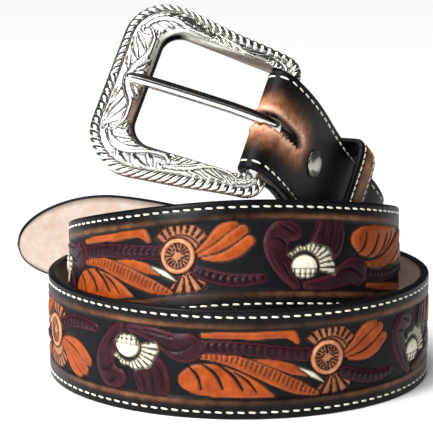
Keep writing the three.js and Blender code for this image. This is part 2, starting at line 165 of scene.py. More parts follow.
def strap_frames(distance):
    """The coil up to the bar, then half a turn round it (middle = bar + radius * face), then the flap,
    which lies behind the strap and closes up to it."""
    distance = np.asarray(distance, float)
    back = np.maximum(distance - LENGTH - FOLD_LENGTH, 0)
    front = coil_frames(np.where(distance <= LENGTH, distance, LENGTH - back))
    turn = ((distance - LENGTH) / FOLD_RADIUS)[..., None]
    face = END_FACE * np.cos(turn) + END_WAY * np.sin(turn)
    way = END_WAY * np.cos(turn) - END_FACE * np.sin(turn)
    apart = THICK + GAP + (2 * FOLD_RADIUS - THICK - GAP) * (1 - smooth(back / CLOSING))
    behind = front[0] - apart[..., None] * front[3]
    coil = (distance <= LENGTH)[..., None]
    flap = (distance >= LENGTH + FOLD_LENGTH)[..., None]
    pick = lambda on_coil, on_fold, on_flap: np.where(coil, on_coil, np.where(flap, on_flap, on_fold))
    return (
        pick(front[0], BAR + FOLD_RADIUS * face, behind), pick(front[1], way, -front[1]),
        pick(front[2], END_WIDTH, front[2]), pick(front[3], face, -front[3]),
    )


def half_width(distance):
    """Half the strap's width: a rounded point at the tip, w * (1 - (1 - t)^1.7)^0.45, and corners on the
    flap that take off 2.5 * (1 - t)^2 over its last 3 mm."""
    t = np.clip(np.asarray(distance, float) / TIP["length"], 0, 1)
    tip = np.maximum(TIP["least"], WIDTH / 2 * (1 - (1 - t) ** TIP["fullness"]) ** TIP["roundness"])
    to_end = np.clip((WHOLE - distance) / 3, 0, 1)
    return tip - 2.5 * (1 - to_end) ** 2


def in_place(millimetres):
    """From the coil's millimetres to the frame's metres."""
    return (np.asarray(millimetres, float) + SHIFT) / 1000


def on_strap(distance, v, n):
    """Points at v along the strap's width and n along its face from
    its middle line; all three are grids."""
    middle, _, width, face = (f[:, None, :] for f in strap_frames(distance))
    return middle + v[..., None] * width + n[..., None] * face


def in_buckle(u, v, n):
    """Points at u towards the toe, v along the bar and n out of the buckle's face."""
    return HUB + u[..., None] * U + v[..., None] * V + n[..., None] * N


# Meshes

def link(name, vertices, faces, body, replaces=(), attributes=None, normals=None):
    """A finished piece from its points in metres: it rides on a body
    and stands for the nodes it replaces."""
    mesh = bpy.data.meshes.new(name)
    mesh.from_pydata(vertices, [], faces)
    mesh.polygons.foreach_set("use_smooth", np.full(len(mesh.polygons), True))
    for key, values in (attributes or {}).items():
        kind, field = ("FLOAT_COLOR", "color") if values.ndim == 2 else ("FLOAT", "value")
        made = mesh.attributes.new(key, kind, "POINT")
        made.data.foreach_set(field, values.astype(np.float32).ravel())
    if normals is not None:
        mesh.normals_split_custom_set_from_vertices(normals)
    mesh.update()
    piece = bpy.data.objects.new(name, mesh)
    bpy.context.collection.objects.link(piece)
    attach(piece, body)
    if replaces:
        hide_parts(*replaces)
    return piece


def grid_faces(rows, columns, wrap=False, around=False, start=0):
    """Quads of a rows x columns grid; wrap joins the last column to the
    first, around the last row to the first."""
    r = np.arange(rows if around else rows - 1)[:, None]
    c = np.arange(columns if wrap else columns - 1)[None, :]
    a, b = r * columns + c, r * columns + (c + 1) % columns
    down = ((r + 1) % rows) * columns
    return start + np.stack([a, b, down + (c + 1) % columns, down + c], -1).reshape(-1, 4)


def tube(rings):
    """A closed body through rings of points (rows, columns, 3): quads between rings and a fan over each
    end, round the end ring's mean point."""
    rows, columns, _ = rings.shape
    quads = grid_faces(rows, columns, wrap=True)
    points = np.concatenate([rings.reshape(-1, 3), rings[:1].mean(1), rings[-1:].mean(1)])
    c = np.arange(columns)
    start = np.stack([(c + 1) % columns, c, np.full(columns, rows * columns)], -1)
    last = (rows - 1) * columns
    end = np.stack([last + c, last + (c + 1) % columns, np.full(columns, rows * columns + 1)], -1)
    return points, [*quads.tolist(), *start.tolist(), *end.tolist()]


def tube_values(rows):
    """A grid of values in the order of a tube's points, with the end rows' means for the hubs."""
    return np.concatenate([rows.reshape((-1,) + rows.shape[2:]), rows[:1].mean(1), rows[-1:].mean(1)])


def grid_normals(points):
    """Cross product of the central differences along the rows and round the columns of a grid of rings."""
    along = np.gradient(points, axis=0)
    across = np.roll(points, -1, 1) - np.roll(points, 1, 1)
    return unit(np.cross(across, along))


# Tooling on the strap's panel, on a tile that repeats from wheel to wheel. x runs along the
# strap away from the buckle from one wheel's middle, v across it, both in millimetres.
# Every other tile is turned upside down.

PITCH = 113.5
FIRST_WHEEL = 278.0  # from the tip
WHEEL = dict(rise=1.2, radius=6.4, dish=4.6, groove=4.4, spokes=18, spoke_from=1.4, spoke_to=4.2)
NEAR = 1.5  # how far outside an outline the tools still leave a mark
FEATHER_PITCH, BEAD_PITCH = 1.7, 2.5  # of the feather's bars and of the stems' beads
RADIAN = 57.0  # in degrees, near enough
PANEL = WIDTH / 2 - RIM
ORANGE, PLUM, CREAM, TAN = range(4)

# A leaf or petal: its dye, and the line that it follows as (x, v, half its width). The first rows
# lie under the stems, the petals over them.
LEAVES = (
    (ORANGE, ((6.4, -1.8, 0.7), (11.0, -5.0, 1.5), (15.6, -8.8, 2.2), (19.4, -10.2, 1.9))),
    (ORANGE, ((8.6, 0.2, 0.7), (15.4, 0.2, 1.7), (20.6, -2.0, 2.3), (24.4, -5.0, 2.0))),
    (ORANGE, ((7.4, -0.8, 0.7), (13.6, -3.0, 1.6), (18.6, -6.0, 2.2), (22.4, -8.6, 2.0))),
    (ORANGE, (
        (66.0, -5.8, 3.6), (69.4, -5.4, 5.4), (75.0, -5.6, 5.8), (83.0, -7.0, 4.5), (89.0, -8.8, 2.7),
        (94.4, -10.9, 0.6),
    )),
    (ORANGE, (
        (71.0, 10.0, 1.0), (80.0, 10.2, 1.3), (89.0, 10.1, 1.5), (96.0, 10.6, 1.6), (100.8, 9.9, 1.9),
        (102.6, 7.6, 1.1),
    )),
    (ORANGE, ((86.6, 1.4, 0.5), (94.0, 0.4, 1.6), (101.0, -2.0, 1.9), (106.4, -4.6, 0.5))),
    (CREAM, ((103.4, -1.6, 0.4), (108.2, -4.4, 1.2), (112.4, -7.4, 0.4))),
)
PETALS = (
    ((51.0, -0.8, 4.2), (52.2, -4.6, 6.6), (53.2, -8.2, 6.4), (53.4, -11.0, 4.6)),
    (
        (40.4, 10.6, 1.6), (37.4, 6.6, 3.0), (34.2, 0.8, 3.8), (33.4, -4.4, 4.4), (36.4, -8.2, 4.2),
        (39.6, -7.8, 3.0),
    ),
    (
        (44.0, 10.2, 1.5), (49.0, 9.8, 2.2), (54.4, 8.6, 2.8), (59.4, 6.4, 4.0), (63.4, 5.2, 5.0),
        (65.8, 5.4, 5.1),
    ),
)
# Gouges, in the same columns, through the big leaf and the petals.
GOUGES = (
    ((65.6, -0.6, 0.35), (69.2, -4.2, 0.6), (70.4, -8.8, 0.4)),
    ((70.4, 0.2, 0.3), (75.0, -3.0, 0.65), (77.6, -8.2, 0.5)),
    ((75.6, 0.2, 0.3), (81.0, -3.6, 0.65), (84.2, -8.4, 0.5)),
    ((81.4, -2.4, 0.3), (86.0, -5.6, 0.5), (89.0, -9.6, 0.3)),
    ((56.3, 6.3, 0.3), (58.6, 4.7, 0.5), (62.8, 4.2, 0.6), (67.2, 6.7, 0.25)),
    ((50.0, 10.2, 0.15), (56.0, 9.4, 0.3), (61.0, 8.6, 0.15)),
    ((46.4, -5.6, 0.2), (47.6, -8.4, 0.45), (48.8, -11.4, 0.25)),
    ((49.2, -5.0, 0.2), (50.2, -8.0, 0.5), (51.0, -11.4, 0.25)),
    ((52.4, -3.6, 0.2), (53.6, -7.4, 0.5), (54.2, -11.4, 0.25)),
    ((55.2, -1.6, 0.2), (57.0, -5.0, 0.5), (57.4, -9.4, 0.25)),
    ((32.4, -5.8, 0.2), (34.8, -5.4, 0.5), (36.9, -3.4, 0.3)),
    ((35.4, -9.8, 0.2), (37.2, -8.9, 0.5), (39.2, -7.6, 0.25)),
    ((35.6, 2.6, 0.2), (37.0, 5.6, 0.4), (39.4, 8.8, 0.2)),
    ((31.2, -1.0, 0.15), (32.4, 2.2, 0.3), (34.6, 5.6, 0.15)),
)
FEATHER = (
    (70.6, 2.6, 1.0), (78.0, 2.2, 2.0), (86.0, -0.4, 2.6), (95.0, -4.6, 2.9), (103.0, -8.4, 2.5),
    (109.8, -11.0, 1.0),
)
BEADED = (
    ((6.6, 4.6, 2.1), (13.5, 7.2, 2.4), (21.0, 8.4, 2.3), (28.6, 7.8, 1.6)),
    ((70.6, 6.0, 2.2), (80.0, 6.1, 2.4), (90.0, 5.0, 2.5), (100.0, 3.6, 2.5), (108.0, 2.8, 2.4)),
)
# The flower's bowl and the rays round its lower side, and the fans behind the wheel: middle, reach, the way
# that they open in degrees, half their opening, ribs and the radius where the ribs begin.
FLOWER = dict(
    x=43.4, v=4.0, bowl=5.0, squash=0.86, inner=5.4, least=7.2, more=4.6, aim=-68, open=82, rays=30,
)
FANS = ((1.2, -1.0, 11.6, -72.0, 72, 26, 7.6), (2.4, 3.2, 9.2, 74.0, 62, 15, 1.4))


class Carving:
    """What the tools leave on the panel, point by point: height over the matted ground, the share
    of each dye, and how dark a cut is."""

    def __init__(self, shape):
        self.height = np.zeros(shape)
        self.dye = np.zeros(shape + (4,))
        self.cut = np.zeros(shape)

    def lay(self, where, signed, dye, rise=0.55, soft=0.5, edge=0.24):
        """A raised shape. signed is the distance outside its outline: the dome is rise * (1 - exp(signed /
        soft)), and a cut, exp(-(signed / edge)^2), runs round the outline."""
        inside = smooth(0.5 - signed / 0.5)
        dome = 0.12 + rise * (1 - np.exp(np.minimum(signed, 0) / soft))
        line = np.exp(-((signed / edge) ** 2))
        self.height[where] = self.height[where] * (1 - inside) + dome * inside - 0.3 * line
        self.dye[where] *= (1 - inside)[..., None]
        self.dye[where + (dye,)] += inside
        self.cut[where] = np.maximum(self.cut[where] * (1 - inside), line)

    def gouge(self, where, depth, dark=1.0):
        """A cut whose depth runs from 0 to 1."""
        self.height[where] -= 0.45 * depth
        self.cut[where] = np.maximum(self.cut[where], dark * depth)


def followed(x, v, line, reach=NEAR):
    """For the points near a line of (x, v, half width) rows: which they are, the signed
    distance to its outline (distance to the line less its half width there), the length
    run along it, and the signed side."""
    rows = np.array(line, float)
    run = np.r_[0, np.cumsum(np.linalg.norm(np.diff(rows[:, :2], axis=0), axis=1))]
    at = np.linspace(0, run[-1], 36)
    path = spline(run, rows, at)
    path[:, 2] = np.interp(at, run, rows[:, 2])
    grow = path[:, 2].max() + reach
    low, high = path[:, :2].min(0) - grow, path[:, :2].max(0) + grow
    where = np.nonzero((x > low[0]) & (x < high[0]) & (v > low[1]) & (v < high[1]))
    px, pv = x[where][:, None], v[where][:, None]
    step = np.diff(path, axis=0)
    dx, dv = px - path[:-1, 0], pv - path[:-1, 1]
    t = np.clip((dx * step[:, 0] + dv * step[:, 1]) / (step[:, 0] ** 2 + step[:, 1] ** 2), 0, 1)
    ex, ev = dx - t * step[:, 0], dv - t * step[:, 1]
    gap = np.hypot(ex, ev) - (path[:-1, 2] + t * step[:, 2])
    k = gap.argmin(1)
    row = np.arange(len(k))
    side = np.sign(step[k, 0] * ev[row, k] - step[k, 1] * ex[row, k]) * np.hypot(ex[row, k], ev[row, k])
    return where, gap[row, k], (k + t[row, k]) / len(step) * run[-1], side


def tooling(distance, v):
    """The carving at each point of the panel: the wheel's fans in polar form, then the leaves, the stems,
    the petals, the flower's rays and bowl, and the wheel."""
    art = Carving(v.shape)
    along = np.broadcast_to(FIRST_WHEEL - distance[:, None], v.shape)
    turned = np.where(np.floor(along / PITCH) % 2 == 0, -1.0, 1.0)
    x, y = along % PITCH, v * turned
    wheel = np.round(along / PITCH)
    wx = along - wheel * PITCH
    wv = v * np.where(wheel % 2 == 0, -1.0, 1.0)
    for mid_x, mid_v, reach, aim, opening, ribs, start in FANS:
        fx, fv = wx - mid_x, wv - mid_v
        radius, angle = np.hypot(fx, fv), np.degrees(np.arctan2(fv, fx))
        swing = (angle - aim + 180) % 360 - 180
        scallop = 0.35 * np.abs(np.cos(np.radians(swing) * ribs / 2))
        signed = np.maximum(radius - reach - scallop, (np.abs(swing) - opening) * radius / RADIAN)
        near = np.nonzero(signed < NEAR)
        art.lay(near, signed[near], TAN, rise=0.26)
        rib = smooth((np.cos(np.radians(swing) * ribs) - 0.3) / 0.4) * smooth((radius - start) / 0.6)
        art.gouge(near, (rib * smooth((-signed - 0.3) / 0.3))[near], 0.85)
        ring = 0.8 * np.exp(-(((radius - start + 0.4) / 0.25) ** 2)) * smooth(-signed)
        art.gouge(near, ring[near], 0.8)
    for dye, line in LEAVES:
        where, signed, _, _ = followed(x, y, line)
        art.lay(where, signed, dye, soft=0.6)
    where, signed, run, side = followed(x, y, FEATHER)
    art.lay(where, signed, ORANGE)
    bars = smooth((np.cos(2 * np.pi * run / FEATHER_PITCH) - 0.1) / 0.5) * smooth((-signed - 0.4) / 0.3)
    art.gouge(where, bars * smooth((side + 1.2) / 0.4), 0.9)
    art.gouge(where, 0.6 * np.exp(-(((side + 1.4) / 0.2) ** 2)) * smooth(-signed / 0.3), 0.7)
    for line in BEADED:
        where, signed, run, side = followed(x, y, line)
        art.lay(where, signed, PLUM)
        inner = signed + 0.85
        art.gouge(where, np.exp(-((inner / 0.24) ** 2)))
        bead = np.abs(np.sin(np.pi * (run / BEAD_PITCH - 0.12 * side**2)))
        in_row = smooth(-inner / 0.3)
        art.height[where] += in_row * (0.5 * bead - 0.3)
        art.cut[where] = np.maximum(art.cut[where], in_row * (1 - smooth((bead - 0.2) / 0.5)))
    for line in PETALS:
        where, signed, _, _ = followed(x, y, line)
        art.lay(where, signed, PLUM, rise=0.65, soft=1.0)
        art.gouge(where, 0.45 * np.exp(-(((signed + 1.0) / 0.2) ** 2)), 0.8)
    for line in GOUGES:
        where, signed, _, _ = followed(x, y, line)
        art.gouge(where, smooth(0.5 - signed / 0.45))

    fx, fv = x - FLOWER["x"], y - FLOWER["v"]
    radius, angle = np.hypot(fx, fv), np.degrees(np.arctan2(fv, fx))
    swing = (angle - FLOWER["aim"] + 180) % 360 - 180
    scallop = 0.4 * np.cos(np.radians(angle) * 10)
    outer = FLOWER["least"] + FLOWER["more"] * smooth((swing + 40) / 110) + scallop
    beside = (np.abs(swing) - FLOWER["open"]) * radius / RADIAN
    signed = np.maximum(np.maximum(radius - outer, FLOWER["inner"] - radius), beside)
    near = np.nonzero(signed < NEAR)
    art.lay(near, signed[near], CREAM, rise=0.4)
    rays = smooth((np.cos(np.radians(angle) * FLOWER["rays"]) - 0.25) / 0.4) * smooth((-signed - 0.2) / 0.3)
    art.gouge(near, 0.9 * rays[near], 0.95)
    signed = np.hypot(fx, fv / FLOWER["squash"]) - FLOWER["bowl"]
    near = np.nonzero(signed < NEAR)
    art.lay(near, signed[near], CREAM, rise=0.9, soft=1.2)
    seed = np.abs(np.sin(np.pi * fx[near] / 1.9) * np.sin(np.pi * (fv[near] - 0.6) / 1.7))
    seeded = smooth((fv[near] - 0.3) / 0.5) * smooth(-signed[near] / 0.4)
    art.height[near] += seeded * (0.5 * seed - 0.4)
    art.cut[near] = np.maximum(art.cut[near], seeded * (1 - smooth((seed - 0.12) / 0.3)))

    wy = v - WHEEL["rise"]
    radius, angle = np.hypot(wx, wy), np.arctan2(wy, wx)
    near = np.nonzero(radius < WHEEL["radius"] + 1.6)
    art.lay(near, radius[near] - WHEEL["radius"], TAN, rise=0.75, soft=0.7)
    art.height -= 0.45 * smooth((WHEEL["dish"] - radius) / 0.6)
    spokes = smooth((np.cos(angle * WHEEL["spokes"] + radius * 0.25) + 0.1) / 0.5)
    spokes = spokes * smooth((radius - WHEEL["spoke_from"]) / 0.3)
    art.gouge(near, (spokes * smooth((WHEEL["spoke_to"] - radius) / 0.3))[near], 1.0)
    art.gouge(near, np.exp(-(((radius - WHEEL["groove"]) / 0.25) ** 2))[near], 0.9)

    panel = smooth((PANEL - 0.2 - np.abs(v)) / 0.5)
    border = np.exp(-(((np.abs(v) - PANEL + 0.1) / 0.3) ** 2))
    art.height = art.height * panel
    art.dye *= panel[..., None]
    art.cut = np.maximum(art.cut * panel, 0.9 * border)
    return art


def strap_profile(half, inner):
    """One side of the strap's section, from the middle of its face round its edge to the
    middle of its back, as shares: v = inner + share * (half - corner - inner), then quarter
    circles of the corner's radius, then back."""
    corner = np.minimum(CORNER, half / 2)
    flat = half - corner
    turn = np.linspace(0, np.pi / 2, 5)
    side = THICK / 2 - corner
    face = inner + np.linspace(0, 1, 22) * (flat - inner)
    top = np.full_like(face, THICK / 2)
    round_v = flat + corner * np.sin(turn[1:])
    round_n = side + corner * np.cos(turn[1:])
    under = inner + np.linspace(1, 0, 9) * (flat - inner)
    v = np.concatenate([face, round_v, round_v[:, ::-1], under], -1)
    n = np.concatenate([top, round_n, -round_n[:, ::-1], np.full_like(under, -THICK / 2)], -1)
    return v, n


def strap_marks(v, n, half):
    """Attributes that the leather reads: how near a point is to the cut
    edge, and whether it is on the back."""
    edge = smooth((np.abs(v) - half + CORNER + 0.35) / 0.5) * smooth((n + THICK / 2 + 0.2) / 0.3)
    return edge, smooth((0.2 - THICK / 2 - n) / 0.3) * smooth((half - 0.4 - np.abs(v)) / 0.4)


def tooled_length(name, start, end, nodes=()):
    """A length of tooled strap as a closed tube. Its face lies SINK deep in the panel and is
    raised by the carving; both fade out at the ends of the tooled part. One more row at either
    end gives the normals their slope."""
    rows = int(round((end - start) / ROW)) + 3
    distance = np.linspace(start - ROW, end + ROW, rows)
    rim_v = np.linspace(0, 1, 9)[1:] * (WIDTH / 2 - CORNER - PANEL) + PANEL
    face_v = np.concatenate([-rim_v[::-1], np.linspace(-PANEL, PANEL, 53), rim_v])
    turn = np.linspace(0, np.pi, 9)[1:-1]
    edge_v = WIDTH / 2 - CORNER + CORNER * np.sin(turn)
    edge_n = np.where(turn < np.pi / 2, 1, -1) * (THICK / 2 - CORNER) + CORNER * np.cos(turn)
    back_v = np.linspace(1, -1, 11) * (WIDTH / 2 - CORNER)
    face_n, back_n = np.full(len(face_v), THICK / 2), np.full(len(back_v), -THICK / 2)
    v = np.tile(np.concatenate([face_v, edge_v, back_v, -edge_v[::-1]]), (rows, 1))
    n = np.tile(np.concatenate([face_n, edge_n, back_n, edge_n[::-1]]), (rows, 1))

    face = np.s_[:, :len(face_v)]
    aside = np.abs(v[face])
    art = tooling(distance, v[face])
    fade = smooth(np.minimum(distance - TOOLED_FROM, LENGTH - TOOLED_TO - distance) / TOOLED_FADE)[:, None]
    sunk = SINK * smooth((PANEL + 0.15 - aside) / 0.5)
    groove = SEAM["depth"] * np.exp(-(((aside - (WIDTH / 2 - STITCH["inset"])) / SEAM["width"]) ** 2))
    n[face] += fade * (art.height - sunk) - groove
    points = in_place(on_strap(distance, v, n))
    vertices, faces = tube(points[1:-1])
    normals = grid_normals(points)[1:-1].reshape(-1, 3)
    ends = [points[0].mean(0) - points[1].mean(0), points[-1].mean(0) - points[-2].mean(0)]

    dye, marks = np.zeros(v.shape + (4,)), np.zeros(v.shape + (4,))
    dye[face] = art.dye * fade[..., None]
    marks[face + (0,)] = art.cut * fade
    marks[face + (1,)] = art.height * fade
    marks[face + (2,)] = fade * smooth((PANEL - aside) / 0.4) * (1 - art.dye.sum(-1).clip(0, 1))
    marks[..., 3], back = strap_marks(v, n, half_width(distance)[:, None])
    patchy = 0.6 + 0.4 * np.sin(distance / 17)[:, None]
    rubbed = 0.3 * np.exp(-(((np.abs(v) - PANEL - 1.1) / 0.9) ** 2)) * smooth(n) * patchy * fade
    grids = {"dye": dye, "marks": marks, "inner": np.stack([back, rubbed, 0 * v, 0 * v + 1], -1)}
    link(
        name, vertices, faces, "strap", nodes,
        attributes={key: tube_values(grid[1:-1]) for key, grid in grids.items()},
        normals=np.concatenate([normals, unit(np.stack(ends))]),
    )


def capsule(distance, v, start, end, half):
    """Signed distance outside a slit with round ends, along the strap's middle."""
    middle, reach = (start + end) / 2, (end - start) / 2 - half
    return np.hypot(np.maximum(np.abs(distance - middle) - reach, 0), v) - half


def plain_length(name, start, end, slits, pucker=0.0):
    """A length of smooth strap with slits or holes along its middle, each from a start to an end with half
    its width. It is made as two halves, each a run of C sections that begins at the slit's edge; beside a
    slit they get an inner wall, and elsewhere they are merged. Where it is puckered, the slit narrows to
    0.88 of its width at its ends, and the face beside it is raised by pucker * ripple * exp(-(gap /
    1.1)^2), where the ripple adds a wave every 2.3 mm and a finer one every 1.4 mm, both on a slant."""
    stops = [np.linspace(start, end, int((end - start) / 0.8) + 1)]
    for low, high, half in slits:
        bend = half * (1 - np.cos(np.linspace(0, np.pi / 2, 9)))
        stops += [low + bend, high - bend]
    stops = np.unique(np.round(np.concatenate(stops), 3))
    distance = stops[np.r_[True, np.diff(stops) > 0.05]]
    inner = np.zeros(len(distance))
    for low, high, half in slits:
        to_end = np.minimum(distance - low, high - distance)
        narrow = 0.88 + 0.12 * smooth((to_end - 3) / 9) if pucker else 1
        inner = np.maximum(inner, narrow * half * np.sqrt(1 - (1 - np.clip(to_end / half, 0, 1)) ** 2))
    inner[inner < 0.06] = 0
    half_here = half_width(distance)[:, None]
    v, n = strap_profile(half_here, inner[:, None])
    d = distance[:, None] * np.ones_like(v)
    gap = np.full(v.shape, 99.0)
    for low, high, half in slits:
        gap = np.minimum(gap, np.maximum(capsule(d, v, low, high, half), 0))
    on_face = smooth((n - 0.2) / 1.0)
    ripple = 0.6 + 0.4 * np.cos(2 * np.pi * d / 2.3 + 1.1 * v)
    ripple = ripple + 0.25 * np.cos(2 * np.pi * d / 1.4 + 2.4 * v)
    seam = np.exp(-(((v - half_here + STITCH["inset"]) / SEAM["width"]) ** 2))
    n = n + on_face * (pucker * ripple * np.exp(-((gap / 1.1) ** 2)) - SEAM["depth"] * seam)

    rows, columns = v.shape
    half_points = rows * columns
    halves = [in_place(on_strap(distance, side * v, n)) for side in (1, -1)]
    right = grid_faces(rows, columns)
    left = grid_faces(rows, columns, start=half_points)[:, ::-1]
    r = np.nonzero((inner[:-1] > 0) | (inner[1:] > 0))[0]
    face_edge, back_edge = r * columns, r * columns + columns - 1
    wall = np.stack([face_edge, face_edge + columns, back_edge + columns, back_edge], -1)
    walls = np.concatenate([wall, (wall + half_points)[:, ::-1]])
    c = np.arange(columns - 1)
    caps = []
    for end_row, row in enumerate((0, rows - 1)):
        hub = np.full(columns - 1, 2 * half_points + end_row)
        one = np.stack([row * columns + c + 1, row * columns + c, hub], -1)
        two = (one + np.array([half_points, half_points, 0]))[:, ::-1]
        both = np.concatenate([one, two])
        caps.append(both[:, ::-1] if end_row else both)
    hubs = np.stack([(halves[0][row, 0] + halves[0][row, -1]) / 2 for row in (0, -1)])
    vertices = np.concatenate([halves[0].reshape(-1, 3), halves[1].reshape(-1, 3), hubs])
    quads = np.concatenate([right, left, walls])[:, ::-1]
    faces = [*quads.tolist(), *np.concatenate(caps)[:, ::-1].tolist()]

    edge, back = strap_marks(v, n, half_here)
    back = back * smooth((gap - 0.3) / 0.5)
    holes = seam * smooth((np.cos(2 * np.pi * d / STITCH["pitch"]) - 0.75) / 0.2) * on_face
    lip_dark = 0.3 if pucker else 1.0
    slit_dark = np.exp(-((gap / 0.3) ** 2)) * np.where(n < THICK / 2 - 0.4, 1.0, lip_dark)
    none = 0 * v
    burnish = on_face * np.exp(-((gap / 4.8) ** 2)) if pucker else none
    lips = on_face * np.exp(-((gap / 1.7) ** 2)) * (0.5 + 0.5 * ripple) if pucker else none
    flat = lambda values: np.r_[values.ravel(), values.ravel(), 0, 0]
    grids = {
        "dye": (none, none, none, none), "marks": (np.maximum(holes, slit_dark), none, none, edge),
        "inner": (back, burnish, lips, none + 1),
    }
    made = link(
        name, vertices, faces, "strap",
        attributes={key: np.stack([flat(grid) for grid in four], -1) for key, four in grids.items()},
    )
    fused(made)


def fused(piece, reach=2e-6):
    """Merges the points of a piece that lie within a reach of each other, in metres."""
    work = bmesh.new()
    work.from_mesh(piece.data)
    bmesh.ops.remove_doubles(work, verts=work.verts, dist=reach)
    work.to_mesh(piece.data)
    work.free()
    piece.data.polygons.foreach_set("use_smooth", np.full(len(piece.data.polygons), True))


def stitches(name, place, centres, size):
    """A run of thread stitches, each a little lozenge: its radius is r * sqrt(1 - s^4) along s = -1..1, it
    leans by the slant, and its ends dip into the leather by 0.34 * s^4. place(along, v, n) puts it on the
    strap or the keeper; centres are rows of (along, v)."""
    s = np.array((-0.999, -0.93, -0.7, -0.25, 0.25, 0.7, 0.93, 0.999))
    turn = np.arange(6) / 6 * 2 * np.pi
    girth = size["radius"] * np.sqrt(1 - s**4)[:, None]
    along = s[:, None] * size["length"] / 2 + 0 * turn
    v = girth * np.cos(turn) + along * size["slant"]
    n = 0.8 * girth * np.sin(turn) + 0.12 - 0.34 * s[:, None] ** 4
    count = len(centres)
    centre_along, centre_v = centres[:, 0, None, None], centres[:, 1, None, None]
    points = place(centre_along + along, centre_v + v, n + np.zeros((count, 1, 1)))
    one, columns = len(s), len(turn)
    quads = grid_faces(one, columns, wrap=True)
    each = np.arange(count)[:, None, None] * one * columns
    sides = (quads[None] + each).reshape(-1, 4)
    end = np.arange(columns)
    caps = np.concatenate([(end[::-1] + each[:, 0]), (end + (one - 1) * columns + each[:, 0])])
    faces = [*sides[:, ::-1].tolist(), *caps[:, ::-1].tolist()]
    link(name, in_place(points).reshape(-1, 3), faces, "strap")


def strap_point(distance, v, n):
    """Points on the strap's face, n over the groove of the seam, where each point has its own distance."""
    middle, _, width, face = strap_frames(distance)
    return middle + v[..., None] * width + (THICK / 2 - SEAM["depth"] + n)[..., None] * face


def strap_rows():
    """Where the strap's two rows of stitches lie: an inset within the edge,
    all the way from the tip to the fold."""
    along = np.arange(4.0, LENGTH + FOLD_LENGTH * 0.9, STITCH["pitch"])
    v = half_width(along) - STITCH["inset"]
    keep = v > 1.5
    return [np.stack([along[keep], side * v[keep]], -1) for side in (1, -1)]


def keeper_point(turn, along, out):
    """A superellipse round the strap, |cos|^(2/5) by |sin|^(2/5), grown
    outwards by out; along is the strap's way."""
    middle, way, width, face = (f[0] for f in coil_frames(np.array([LENGTH - KEEPER["at"]])))
    middle = middle + (KEEPER["outwards"] - (THICK + GAP) / 2) * face
    bow = lambda value: np.sign(value) * np.abs(value) ** (2 / KEEPER["square"])
    high = np.where(np.sin(turn) > 0, KEEPER["above"], KEEPER["below"])
    v = (KEEPER["across"] + out) * bow(np.cos(turn))
    n = (high + out) * bow(np.sin(turn))
    return middle + v[..., None] * width + n[..., None] * face + along[..., None] * way


def keeper_outline():
    """The keeper's outline at half its thickness: angles round it, and the length run at each of them."""
    turn = np.linspace(0, 2 * np.pi, 4001)
    points = keeper_point(turn, 0 * turn, KEEPER["thick"] / 2 + 0 * turn)
    return turn, np.r_[0, np.cumsum(np.linalg.norm(np.diff(points, axis=0), axis=1))]


def keeper():
    """The keeper's leather: a rounded oblong section carried round the superellipse in steps of equal
    length, its outer face crowned by 0.35 * (1 - x^2) and grooved under the stitches."""
    outline, run = keeper_outline()
    turn = np.interp(np.arange(260) / 260 * run[-1], run, outline)
    half_long, half_thick, corner = KEEPER["length"] / 2, KEEPER["thick"] / 2, KEEPER["corner"]
    seam_at = half_long - KEEPER_STITCH["inset"]
    q = np.linspace(0, np.pi / 2, 5)
    flat = np.linspace(-1, 1, 33) * (half_long - corner)
    crown = half_thick + KEEPER["crown"] * (1 - (flat / half_long) ** 2)
    for row in (-1, 1):
        crown -= 0.18 * np.exp(-(((flat - row * seam_at) / 0.4) ** 2))
    along = np.concatenate([
        flat, half_long - corner + corner * np.sin(q[1:]), half_long - corner + corner * np.cos(q),
        -flat[::4], -half_long + corner - corner * np.sin(q[1:]),
        -half_long + corner - corner * np.cos(q)[:-1],
    ])
    out = np.concatenate([
        crown, half_thick - corner + corner * np.cos(q[1:]), -half_thick + corner - corner * np.sin(q),
        np.full(len(flat[::4]), -half_thick), -half_thick + corner - corner * np.cos(q[1:]),
        half_thick - corner + corner * np.sin(q)[:-1],
    ])
    t, a, o = np.broadcast_arrays(turn[:, None], along[None], out[None])
    points = in_place(keeper_point(t, a, o))
    faces = grid_faces(*t.shape, wrap=True, around=True)
    edge = smooth((np.abs(a) - half_long + 1.5) / 0.5)
    edge = np.maximum(edge, smooth((0.1 - o) / 0.4) * 0.5)
    seam = sum(np.exp(-(((a - row * seam_at) / 0.3) ** 2)) for row in (-1, 1)) * (o > 0)
    burnish = 0.55 * np.exp(-(((a + 0.6) / 3.0) ** 4)) * smooth(o)
    none = 0 * edge
    grids = {
        "dye": (none, none, none, none), "marks": (0.5 * seam, none, none, edge),
        "inner": (none, burnish, none, none + 1),
    }
    link(
        "keeper_band", points.reshape(-1, 3), faces.tolist(), "strap", ["keeper_loop"],
        attributes={key: np.stack([grid.ravel() for grid in four], -1) for key, four in grids.items()},
    )


def keeper_stitches():
    """Two rows of stitches on the keeper's outer face, spaced evenly round its outline."""
    turn, run = keeper_outline()
    whole, count = run[-1], KEEPER_STITCH["count"]
    place = lambda along, v, n: keeper_point(
        np.interp(along % whole, run, turn), v, KEEPER["thick"] / 2 + 0.06 + n,
    )
    centres = (np.arange(count) + 0.5) * (whole / count)
    for side, name in ((1, "keeper_seam_1"), (-1, "keeper_seam_2")):
        v = side * (KEEPER["length"] / 2 - KEEPER_STITCH["inset"])
        stitches(name, place, np.stack([centres, v + 0 * centres], -1), KEEPER_STITCH)


